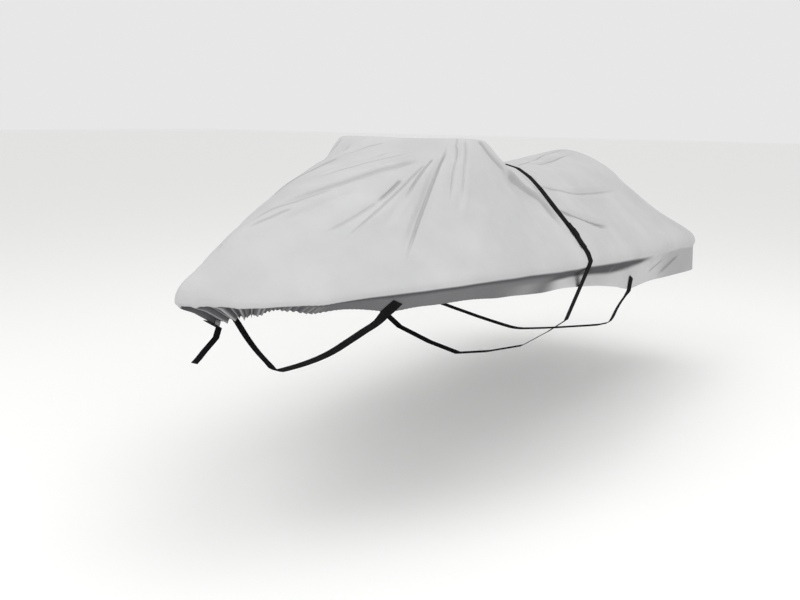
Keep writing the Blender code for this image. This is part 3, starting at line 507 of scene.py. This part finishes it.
def line_layer(points, normals, side, layer):
    """Half widths from the nearest line of a layer, and that line's depth."""
    distance = np.full(points.shape[:-1], 2.0 * LINE_REACH)
    depth = np.zeros(points.shape[:-1])
    for line in LINES:
        if line.layer != layer:
            continue
        nearest, share = fold_place(points, normals, line, side)
        nearest = nearest * line.side * side / line.width
        nearest = np.clip(nearest, -2.0 * LINE_REACH, 2.0 * LINE_REACH)
        fade = ramp(share, 0.0, LINE_IN) * (1.0 - ramp(share, LINE_OUT, 1.0))
        closer = np.abs(nearest) < np.abs(distance)
        distance = np.where(closer, nearest, distance)
        depth = np.where(closer, line.depth * fade, depth)
    return distance, np.where(np.abs(distance) < LINE_REACH, depth, 0.0)


def edge_lengths(half):
    """Length along the edge from the stem to each rib."""
    runs = np.linalg.norm(np.diff(half[:, control_places()[EDGE]], axis=0), axis=1)
    return np.concatenate(([0.0], np.cumsum(runs)))


def pleat_relief(half, side):
    """How far the bow's pleats move each point along its normal."""
    places = control_places()
    arc = edge_lengths(half) * side
    height = sum(pleat.height * (np.exp(-((arc - pleat.place) / pleat.half_width) ** 2)
                                 - PLEAT_VALLEY) for pleat in PLEATS)
    height = height * (1.0 - ramp(np.abs(arc), PLEATS_FADE, PLEATS_END))
    share = np.interp(np.arange(half.shape[1]), places, PLEAT_SHARE)
    return height[:, None] * share[None, :]


# Small pleats and ripples between those pleats: their sizes in metres, where their mean lies
# as a share of a small pleat's depth, and the distances from the stem over which they start
# and die out
GATHER_SHARE = (0.0, 0.0, 0.0, 0.0, .07, .32, .80, 1.0)  # how much shows at each rib control
SMALL_PLEAT_PITCH, SMALL_PLEAT_DEPTH, SMALL_PLEAT_MEAN = 0.027, 0.010, 0.64
SMALL_PLEATS_FADE, SMALL_PLEATS_END = 0.16, 0.34
RIPPLE_PITCH, RIPPLE_LEAST, RIPPLE_MORE = 0.0165, 0.0006, 0.0026
RIPPLES_START, RIPPLES_FULL, RIPPLES_FADE, RIPPLES_END = 0.08, 0.20, 0.38, 0.54
GATHER_START = 0.03         # over this much at the stem


def gather_relief(half, side):
    """The small pleats and ripples that the elastic draws into the skirt round the bow."""
    places = control_places()
    arc = edge_lengths(half)
    share = np.interp(np.arange(half.shape[1]), places, GATHER_SHARE)
    # the pitch wanders by a few millimetres, in a way of its own on each side
    wander = arc + 0.006 * np.sin(arc * 21.0 + side) + 0.003 * np.sin(arc * 53.0 + 2.0 * side)
    pleats = SMALL_PLEAT_MEAN - np.abs(np.sin(wander * math.pi / SMALL_PLEAT_PITCH))
    pleats = pleats * SMALL_PLEAT_DEPTH * (1.0 - ramp(arc, SMALL_PLEATS_FADE, SMALL_PLEATS_END))
    ripples = np.sin(wander * 2.0 * math.pi / RIPPLE_PITCH + 1.3 * side)
    ripples_here = ramp(arc, RIPPLES_START, RIPPLES_FULL)
    ripples_here = ripples_here * (1.0 - ramp(arc, RIPPLES_FADE, RIPPLES_END))
    ripples = ripples * (RIPPLE_LEAST + RIPPLE_MORE * ripples_here)
    depth = (pleats + ripples) * ramp(arc, 0.0, GATHER_START)
    return depth[:, None] * share[None, :]


def soft_unevenness(points):
    """A slow unevenness of a millimetre or two, as cloth has that was folded away for years."""
    x, y, z = points[..., 0], points[..., 1], points[..., 2]
    # waves of about 0.3 m and, lower, of about 0.15 m
    return (0.0011 * np.sin(17.0 * x + 9.0 * y + 1.0) * np.sin(13.0 * z - 11.0 * y)
            + 0.0007 * np.sin(37.0 * x - 23.0 * z) * np.sin(29.0 * y + 31.0 * z + 2.0))


def add_node(material, kind, inputs=(), **settings):
    """Add a shader node: inputs are pairs of a socket and a value or another node's output."""
    node = material.node_tree.nodes.new(kind)
    for key, value in settings.items():
        setattr(node, key, value)
    for socket, value in inputs:
        if isinstance(value, bpy.types.NodeSocket):
            material.node_tree.links.new(value, node.inputs[socket])
        else:
            node.inputs[socket].default_value = value
    return node


def weave_height(material, uv, pitch):
    """Height of a plain weave with threads at the given pitch in metres, over a UV in metres."""
    scale = 2 * math.pi / 20 / (2 * pitch)      # bands repeat every 2 pi / 20 / scale
    waves = []
    for direction in ("X", "Y"):
        waves.append(add_node(material, "ShaderNodeTexWave",
                              (("Vector", uv), ("Scale", scale)), wave_type="BANDS",
                              bands_direction=direction, wave_profile="SIN"))
    both = add_node(material, "ShaderNodeMath",
                    ((0, waves[0].outputs["Fac"]), (1, waves[1].outputs["Fac"])),
                    operation="MULTIPLY")
    return both.outputs[0]


def line_height(material, layer):
    """Height in metres of a layer of crease lines: a round trough along each."""
    distance = add_node(material, "ShaderNodeAttribute", attribute_name="line_" + layer)
    depth = add_node(material, "ShaderNodeAttribute", attribute_name="depth_" + layer)
    square = add_node(material, "ShaderNodeMath",
                      ((0, distance.outputs["Fac"]), (1, distance.outputs["Fac"])),
                      operation="MULTIPLY")
    fall = add_node(material, "ShaderNodeMath", ((0, square.outputs[0]), (1, -1.0)),
                    operation="MULTIPLY")
    trough = add_node(material, "ShaderNodeMath", ((0, fall.outputs[0]),), operation="EXPONENT")
    height = add_node(material, "ShaderNodeMath",
                      ((0, trough.outputs[0]), (1, depth.outputs["Fac"])), operation="MULTIPLY")
    down = add_node(material, "ShaderNodeMath", ((0, height.outputs[0]), (1, -1.0)),
                    operation="MULTIPLY")
    return down.outputs[0]


def cover_half(side):
    """One side of the cover with its folds, pleats, creases and gathers, and its crease lines."""
    half = base_half()
    normals = outward(half)
    relief = fold_relief(half, normals, side, FOLDS, FADE_OUT) + pleat_relief(half, side)
    relief += fold_relief(half, normals, side, CREASES, CREASE_OUT) + gather_relief(half, side)
    relief += soft_unevenness(half * (1.0, side, 1.0))
    lines = [values for layer in LAYERS for values in line_layer(half, normals, side, layer)]
    # the two sides meet on the centreline, and no fold carries the cloth across it
    relief[0] *= 0.5
    own_side = 0.5 * half[..., 1]
    half = half + relief[..., None] * normals
    half[..., 1] = np.maximum(half[..., 1], own_side)
    half[0, :, 1] = 0.0
    half[-1, :, 1] = 0.0
    half[:, 0, 1] = 0.0
    return np.concatenate((half * (1.0, side, 1.0), np.stack(lines, axis=-1)), axis=-1)


def closed_grid(port, starboard):
    """The whole cover as one grid that runs from port hem over the top to starboard hem."""
    middle = 0.5 * (port[:, :1] + starboard[:, :1])
    return np.concatenate((port[:, :0:-1], middle, starboard[:, 1:]), axis=1)


def grid_normals(grid):
    """Outward normals of the grid."""
    along = np.gradient(grid, axis=0)
    aside = np.gradient(grid, axis=1)
    return unit(np.cross(along, aside))


PRESS_REACH = 0.020         # how far in and out the cloth feels for a strap
STRAP_GAP = 0.0004          # left between the cloth and the strap
PRESS_SPREAD = 5            # mesh steps over which the press fades beside a strap
PRESS_FALL = 0.72           # what is left of it after each


def press_under(grid, straps):
    """Press the cloth in where a strap lies on it, so that the strap's inner face rests on it."""
    normals = grid_normals(grid)
    near = np.zeros(grid.shape[:2])
    for strap in straps:
        vertices = np.array([vertex.co for vertex in strap.data.vertices])
        low, high = vertices.min(axis=0) - PRESS_REACH, vertices.max(axis=0) + PRESS_REACH
        tree = BVHTree.FromPolygons([Vector(v) for v in vertices],
                                    [tuple(face.vertices) for face in strap.data.polygons])
        inside = np.argwhere(((grid > low) & (grid < high)).all(axis=2))
        for i, j in inside:
            normal = Vector(normals[i, j])
            start = Vector(grid[i, j]) - PRESS_REACH * normal
            hit, _normal, _face, distance = tree.ray_cast(start, normal, 2.0 * PRESS_REACH)
            if hit:
                near[i, j] = min(near[i, j], distance - PRESS_REACH - STRAP_GAP)
    pressed = near.copy()
    for _ in range(PRESS_SPREAD):
        wider = pressed.copy()
        wider[1:] = np.minimum(wider[1:], PRESS_FALL * pressed[:-1])
        wider[:-1] = np.minimum(wider[:-1], PRESS_FALL * pressed[1:])
        wider[:, 1:] = np.minimum(wider[:, 1:], PRESS_FALL * pressed[:, :-1])
        wider[:, :-1] = np.minimum(wider[:, :-1], PRESS_FALL * pressed[:, 1:])
        pressed = wider
    return grid + pressed[..., None] * normals


# Painted shade on the skirt, which faces down under its edge. Depths are shares of the way
# from the edge to the hem, and stations are metres aft of the bow tip.
SHADE_FROM, SHADE_FULL = -0.06, 0.05      # depths over which it starts under the edge
STRIP_FROM, STRIP_FULL = 1.28, 1.50     # stations over which it narrows to a strip
STRIP_LOW, STRIP_RISE = 0.50, 0.34      # depth of the strip's lower side, and how far it rises
STRIP_RISES, STRIP_RISEN = 1.95, 2.50   # over these stations
STRIP_SOFT = 0.10           # half the depth over which its lower side fades
STRIP_FADES, STRIP_ENDS = 2.35, 2.60    # stations over which the strip ends
QUARTER_SHADE = 0.30         # the whole skirt gets this much painted shade at the quarter
QUARTER_FROM, QUARTER_FULL = 2.62, 2.85
LOW_LIGHT = 0.20             # how much the low part of the skirt is lightened, as painted light
LOW_FROM, LOW_FULL = 0.08, 0.30         # depths over which the low part starts
PATCH_AT, PATCH_WIDE, PATCH_LIGHT = 1.16, 0.10, 0.20     # a patch lightened further, as a painted pool of light
PATCH_FROM, PATCH_FULL = 0.30, 0.60     # depths over which the patch starts
LIGHT_FADES, LIGHT_ENDS = 1.25, 1.45      # stations over which this painted light dies out
BOW_LIGHT = 0.5              # as a share of the painted light further aft
BOW_ENDS, BOW_PAST = 0.20, 0.70         # stations over which that rises to all of it
PLEAT_ROWS = 4              # mesh rows to each side over which a pleat rises
RIDGE_LEAST = 0.0012        # smaller ripples get no painted light or shade of their own
RIDGE_LIGHT = 180.0          # how much painted light each metre of rise gives a ridge
BETWEEN_LEAST, BETWEEN_MOST = 0.35, 1.25    # painted shade on a ridge and between two, as shares


def painted_skirt_shade(grid, hem_columns):
    """How much painted shade the skirt gets under its edge, 0 to 1: all of it forward, a strip
    at the rear.

    The low part of the skirt and a patch get less of it, as painted light. The ridges of the
    pleats get painted light, and painted shade lies between them.
    """
    places = control_places()
    columns = grid.shape[1] - 2 * hem_columns
    out = np.abs(np.arange(grid.shape[1]) - hem_columns - (columns - 1) / 2)
    station = TOP_STATION - grid[..., 0]
    depth = (out[None, :] - places[EDGE]) / (places[-1] - places[EDGE])
    start = ramp(depth, SHADE_FROM, SHADE_FULL)
    lower = STRIP_LOW - STRIP_RISE * ramp(station, STRIP_RISES, STRIP_RISEN)
    below = ramp(depth, lower - STRIP_SOFT, lower + STRIP_SOFT)
    strip = 1.0 - ramp(station, STRIP_FROM, STRIP_FULL) * below
    astern = 1.0 - ramp(station, STRIP_FADES, STRIP_ENDS)
    quarter = QUARTER_SHADE * ramp(station, QUARTER_FROM, QUARTER_FULL)
    low = ramp(depth, LOW_FROM, LOW_FULL)
    patch = np.exp(-((station - PATCH_AT) / PATCH_WIDE) ** 2) * ramp(depth, PATCH_FROM, PATCH_FULL)
    # painted light: the low skirt and a patch get less of the painted shade
    lit_share = LOW_LIGHT + PATCH_LIGHT * patch
    lit_share = lit_share * (1.0 - ramp(station, LIGHT_FADES, LIGHT_ENDS))
    lit_share = lit_share * (BOW_LIGHT + (1.0 - BOW_LIGHT) * ramp(station, BOW_ENDS, BOW_PAST))
    # painted light on the ridges of the pleats and painted shade between them
    reach = PLEAT_ROWS
    padded = np.pad(grid, ((reach, reach), (0, 0), (0, 0)), mode="edge")
    level = sum(padded[k:k + len(grid)] for k in range(2 * reach + 1)) / (2 * reach + 1)
    ridge = ((grid - level) * grid_normals(grid)).sum(axis=-1)
    ridge = ridge - np.clip(ridge, -RIDGE_LEAST, RIDGE_LEAST)
    between = np.clip(1.0 - RIDGE_LIGHT * ridge, BETWEEN_LEAST, BETWEEN_MOST)
    return start * np.clip(strip * astern * (1.0 - lit_share * low) * between + quarter, 0.0, 1.0)


straps = [nodes[name] for name in ("front_strap", "mid_strap", "rear_strap", "bow_strap")]
whole = closed_grid(cover_half(1), cover_half(-1))
grid, lines = press_under(whole[..., :3], straps), whole[..., 3:]

# the hem: the cloth turns in round the elastic and is stitched down inside
HEM_ROUND = 0.0022          # radius of the turn
HEM_ANGLES = (35, 75, 115, 155, 180)    # degrees round the turn
HEM_DEPTH = 0.022           # width of the cloth that is turned up inside
normals = grid_normals(grid)
turned = []
for end, inner in ((0, 1), (-1, -2)):
    edge, out = grid[:, end], normals[:, end]
    down = unit(edge - grid[:, inner])
    rows = []
    for angle in HEM_ANGLES:
        a = math.radians(angle)
        inwards, below = HEM_ROUND * (1 - math.cos(a)), HEM_ROUND * math.sin(a)
        rows.append(edge - inwards * out + below * down)
    rows.append(edge - 2 * HEM_ROUND * out - 0.5 * HEM_DEPTH * down)
    rows.append(edge - 1.6 * HEM_ROUND * out - HEM_DEPTH * down)
    turned.append(rows)
port_hem, starboard_hem = np.stack(turned[0][::-1], axis=1), np.stack(turned[1], axis=1)
grid = np.concatenate((port_hem, grid, starboard_hem), axis=1)
hem_columns = len(turned[0])
lines = np.pad(lines, ((0, 0), (hem_columns, hem_columns), (0, 0)), mode="edge")

# lengths along and across the cloth, for the weave: those along it are measured on the flank
FLANK_SHARE = 0.45          # of the columns from the middle to the hem
rows, columns = grid.shape[:2]
half_way = columns // 2
along = np.linalg.norm(np.diff(grid, axis=0), axis=2)
along = np.concatenate((np.zeros((1, columns)), np.cumsum(along, axis=0)))
along = np.repeat(along[:, half_way + int(FLANK_SHARE * half_way)][:, None], columns, axis=1)
aside = np.linalg.norm(np.diff(grid, axis=1), axis=2)
aside = np.concatenate((np.zeros((rows, 1)), np.cumsum(aside, axis=1)), axis=1)
aside -= aside[:, half_way:half_way + 1]

mesh = bpy.data.meshes.new("cover_cloth")
corner = np.arange(rows * columns).reshape(rows, columns)
quads = np.stack((corner[:-1, :-1], corner[1:, :-1], corner[1:, 1:], corner[:-1, 1:]), axis=-1)
mesh.from_pydata(grid.reshape(-1, 3).tolist(), [], quads.reshape(-1, 4).tolist())
lengths = mesh.uv_layers.new(name="lengths")
flat = np.stack((along, aside), axis=-1).reshape(-1, 2)
loops = np.array([loop.vertex_index for loop in mesh.loops])
lengths.data.foreach_set("uv", flat[loops].astype(np.float32).ravel())
# the skirt's painted shade, as an attribute for the shader
skirt_shade_layer = mesh.attributes.new("painted_skirt_shade", "FLOAT", "POINT")
skirt_shade_layer.data.foreach_set("value", painted_skirt_shade(grid, hem_columns).astype(np.float32).ravel())
line_names = [kind + layer for layer in LAYERS for kind in ("line_", "depth_")]
for k, name in enumerate(line_names):
    crease_line = mesh.attributes.new(name, "FLOAT", "POINT")
    crease_line.data.foreach_set("value", lines[..., k].astype(np.float32).ravel())
mesh.validate()
mesh.shade_smooth()
cover = bpy.data.objects.new("cover_cloth", mesh)
scene.collection.objects.link(cover)
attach(cover, "root")
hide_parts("cover")

# solution-dyed grey polyester, 600 denier: a matt plain weave under a thin coating, with faint
# blotches of tone and painted shade in its creases and under the skirt's edge. Its threads are
# about 0.3 mm apart, and they are drawn twice as coarse so that they show near by.
THREAD_PITCH = 0.0006
BLOTCHES, SPECKS, RUMPLES = 3.5, 140.0, 22.0    # noise scales: 290 mm, 7 mm and 45 mm
SHADE_DEPTH, SHADE_LEFT = 0.005, 0.80     # a crease line this deep keeps this share of its colour, as painted shade
cloth, shader = new_material("grey coated polyester", "#CFCFD0", 0.78, 0.25)
uv = add_node(cloth, "ShaderNodeUVMap", uv_map="lengths").outputs["UV"]
place = add_node(cloth, "ShaderNodeTexCoord").outputs["Object"]
blotch = add_node(cloth, "ShaderNodeTexNoise",
                  (("Vector", place), ("Scale", BLOTCHES), ("Detail", 6.0), ("Roughness", 0.6)))
tone = add_node(cloth, "ShaderNodeMapRange",
                ((0, blotch.outputs["Fac"]), (1, 0.3), (2, 0.7), (3, 0.0), (4, 1.0)))
colour = add_node(cloth, "ShaderNodeMix", ((0, tone.outputs[0]), (6, linear("#BABABB")),
                                           (7, linear("#C5C5C6"))), data_type="RGBA")
# painted shade: the skirt under its edge is mixed toward a darker, speckled grey
skirt_shade = add_node(cloth, "ShaderNodeAttribute", attribute_name="painted_skirt_shade").outputs["Fac"]
speck = add_node(cloth, "ShaderNodeTexNoise",
                 (("Vector", place), ("Scale", SPECKS), ("Detail", 4.0), ("Roughness", 0.7)))
shade_colour = add_node(cloth, "ShaderNodeMix", ((0, speck.outputs["Fac"]), (6, linear("#3C3C3F")),
                                          (7, linear("#5A5A5D"))), data_type="RGBA")
skirt_shaded = add_node(cloth, "ShaderNodeMix", ((0, skirt_shade), (6, colour.outputs[2]),
                                           (7, shade_colour.outputs[2])), data_type="RGBA")
weave = weave_height(cloth, uv, THREAD_PITCH)
fine_bump = add_node(cloth, "ShaderNodeBump",
                     (("Strength", 0.35), ("Distance", 0.0002), ("Height", weave)))
rumple = add_node(cloth, "ShaderNodeTexNoise",
                  (("Vector", place), ("Scale", RUMPLES), ("Detail", 3.0), ("Roughness", 0.55)))
soft_bump = add_node(cloth, "ShaderNodeBump",
                     (("Strength", 0.5), ("Distance", 0.0012), ("Height", rumple.outputs["Fac"]),
                      ("Normal", fine_bump.outputs[0])))
troughs = [line_height(cloth, layer) for layer in LAYERS]
two_layers = add_node(cloth, "ShaderNodeMath", ((0, troughs[0]), (1, troughs[1])),
                      operation="ADD")
all_layers = add_node(cloth, "ShaderNodeMath", ((0, two_layers.outputs[0]), (1, troughs[2])),
                      operation="ADD")
crease_bump = add_node(cloth, "ShaderNodeBump",
                       (("Strength", 1.0), ("Distance", 1.0), ("Height", all_layers.outputs[0]),
                        ("Normal", soft_bump.outputs[0])))
cloth.node_tree.links.new(crease_bump.outputs[0], shader.inputs["Normal"])
# painted shade in the creases: the colour darkens with the depth of the crease lines
crease_shade = add_node(cloth, "ShaderNodeMapRange",
                 ((0, all_layers.outputs[0]), (1, 0.0), (2, -SHADE_DEPTH),
                  (3, 1.0), (4, SHADE_LEFT)))
crease_shaded = add_node(cloth, "ShaderNodeVectorMath", ((0, skirt_shaded.outputs[2]), (3, crease_shade.outputs[0])),
                   operation="SCALE")
cloth.node_tree.links.new(crease_shaded.outputs[0], shader.inputs["Base Color"])
mesh.materials.append(cloth)


# The straps are 45 mm black polyester webbing, and the short one at the bow is 25 mm. The two
# that hang are sewn to the skirt, and the middle one goes right round and back to its buckle.

# polyester webbing in a herringbone weave: dull and nearly black, with fine slanting ribs. Real
# ribs are about 1.5 mm apart, and these are drawn 2.3 mm apart so that they show.
WEB_RIBS = 160.0            # wave scale
webbing, shader = new_material("black polyester webbing", "#0C0C0D", 0.85, 0.06)
place = add_node(webbing, "ShaderNodeTexCoord").outputs["Object"]
rib = add_node(webbing, "ShaderNodeTexWave",
               (("Vector", place), ("Scale", WEB_RIBS), ("Distortion", 0.4)),
               wave_type="BANDS", bands_direction="DIAGONAL", wave_profile="SIN")
rib_bump = add_node(webbing, "ShaderNodeBump",
                    (("Strength", 0.5), ("Distance", 0.0003), ("Height", rib.outputs["Fac"])))
webbing.node_tree.links.new(rib_bump.outputs[0], shader.inputs["Normal"])
ribbed = add_node(webbing, "ShaderNodeMix", ((0, rib.outputs["Fac"]), (6, linear("#070708")),
                                             (7, linear("#1A1A1C"))), data_type="RGBA")
webbing.node_tree.links.new(ribbed.outputs[2], shader.inputs["Base Color"])
for strap in straps:
    strap.data.materials.clear()
    strap.data.materials.append(webbing)


# The buckle is a flat black ladder lock with three bars. The strap is sewn round the upper one,
# and its other end comes back round the middle one.

# moulded acetal: black with a slight satin grain, which is about 0.3 mm in a real mould and is
# drawn at 1 mm so that it shows
GRAIN = 900.0               # noise scale
acetal, shader = new_material("black moulded acetal", "#0E0E0F", 0.5, 0.2)
grain = add_node(acetal, "ShaderNodeTexNoise", (("Scale", GRAIN), ("Detail", 2.0)))
grain_bump = add_node(acetal, "ShaderNodeBump",
                      (("Strength", 0.2), ("Distance", 0.0001), ("Height", grain.outputs["Fac"])))
acetal.node_tree.links.new(grain_bump.outputs[0], shader.inputs["Normal"])
buckle = nodes["mid_buckle"]
buckle.data.materials.clear()
buckle.data.materials.append(acetal)
